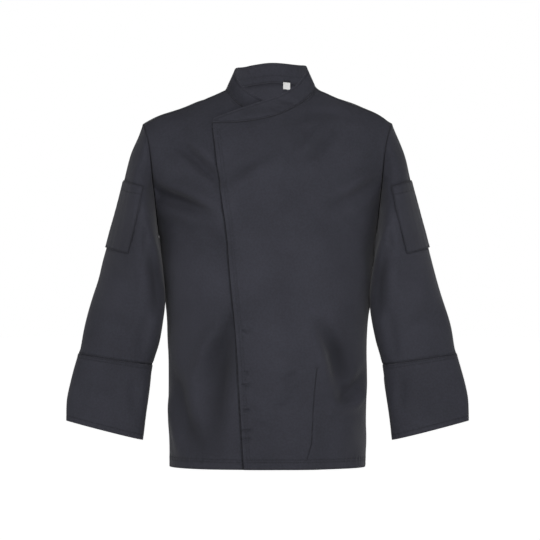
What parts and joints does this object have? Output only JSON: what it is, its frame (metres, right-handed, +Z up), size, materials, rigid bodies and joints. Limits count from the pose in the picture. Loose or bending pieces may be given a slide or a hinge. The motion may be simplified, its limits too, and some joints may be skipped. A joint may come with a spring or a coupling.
{
  "type": "chef jacket",
  "caption": "Long-sleeved cross-over chef jacket with a stand collar, press studs, deep cuffs and sleeve pockets, in its hollow worn shape.",
  "frame": {"origin": "the middle of the neck, on the line of the shoulders, where the wearer's shoulders carry the jacket", "axes": "+X to the wearer's left, +Y to the back, +Z up; the front faces -Y"},
  "size_m": [0.7828, 0.2821, 0.7872],
  "materials": {
    "back": "matte twill",
    "front_left": "matte twill",
    "front_right": "matte twill",
    "collar": "matte twill",
    "sleeve_left": "matte twill",
    "sleeve_right": "matte twill",
    "cuff_left": "matte twill",
    "cuff_right": "matte twill",
    "sleeve_pocket_left": "matte twill",
    "sleeve_pocket_right": "matte twill",
    "size_label": "matte woven tape",
    "press_stud_1": "dark satin",
    "press_stud_2": "dark satin",
    "press_stud_3": "dark satin",
    "press_stud_4": "dark satin",
    "press_stud_5": "dark satin"
  },
  "bodies": {
    "root": {"back": "back", "front_left": "front_left", "front_right": "front_right", "collar": "collar", "sleeve_left": "sleeve_left", "sleeve_right": "sleeve_right", "cuff_left": "cuff_left", "cuff_right": "cuff_right", "sleeve_pocket_left": "sleeve_pocket_left", "sleeve_pocket_right": "sleeve_pocket_right", "size_label": "size_label", "press_stud_1": "press_stud_1", "press_stud_2": "press_stud_2", "press_stud_3": "press_stud_3", "press_stud_4": "press_stud_4", "press_stud_5": "press_stud_5"}
  },
  "joints": []
}
